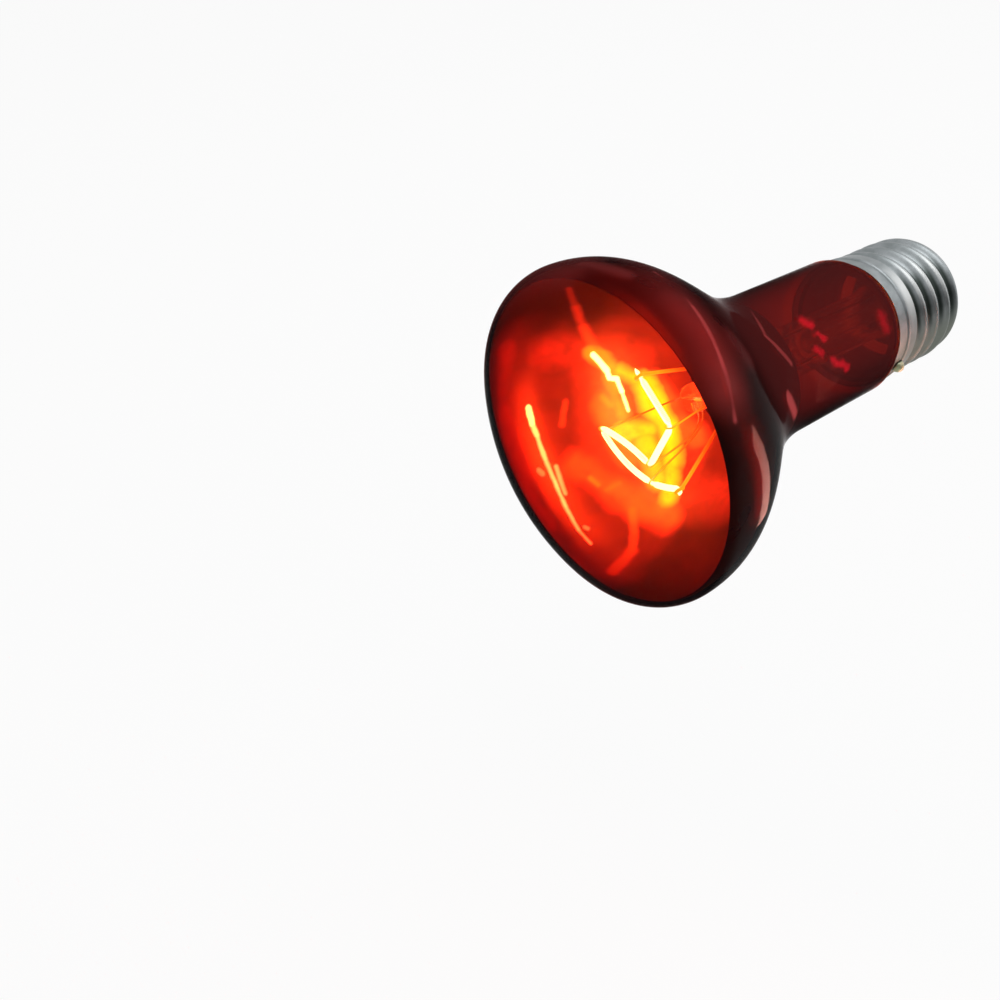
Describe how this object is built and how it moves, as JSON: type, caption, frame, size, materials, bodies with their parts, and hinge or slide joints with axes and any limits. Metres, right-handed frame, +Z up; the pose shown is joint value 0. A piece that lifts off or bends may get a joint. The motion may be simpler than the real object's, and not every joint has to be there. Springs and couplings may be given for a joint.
{
  "type": "infrared reflector lamp",
  "caption": "Ruby glass reflector heat lamp with a mirrored bowl, a straight neck, a hooked coil filament and a screw cap.",
  "frame": {"origin": "centre of the flat tip of the solder on the end contact", "axes": "+Y along the lamp's axis, out of the end contact; the glass face looks along -Y; +Z up"},
  "size_m": [0.0636, 0.1038, 0.0636],
  "materials": {
    "ruby_glass": "clear ruby, blown, glossy",
    "mirror_film": "vacuum-deposited aluminium film",
    "clear_glass": "clear, flame-worked",
    "tungsten": "drawn coil, incandescent when lit",
    "nickel_wire": "drawn wire",
    "copper_wire": "drawn copper wire",
    "cap_metal": "nickel-plated brass, satin",
    "cement": "matt basing cement",
    "black_glass": "opaque black, moulded",
    "brass": "pressed plate",
    "solder": "dull, as run"
  },
  "bodies": {
    "root": {"glass_bulb": "ruby_glass", "mirror_coating": "mirror_film", "stem": "clear_glass", "exhaust_tube": "clear_glass", "arbor_rod": "clear_glass", "filament": "tungsten", "filament_support_1": "nickel_wire", "filament_support_2": "nickel_wire", "filament_support_3": "nickel_wire", "filament_support_4": "nickel_wire", "inner_lead_upper": "nickel_wire", "inner_lead_lower": "nickel_wire", "seal_wire_upper": "copper_wire", "seal_wire_lower": "copper_wire", "fuse_wire": "copper_wire", "centre_lead": "copper_wire", "side_lead": "copper_wire", "cap_shell": "cap_metal", "cap_cement": "cement", "cap_insulator": "black_glass", "end_contact": "brass", "contact_solder": "solder", "side_solder": "solder"}
  },
  "joints": []
}
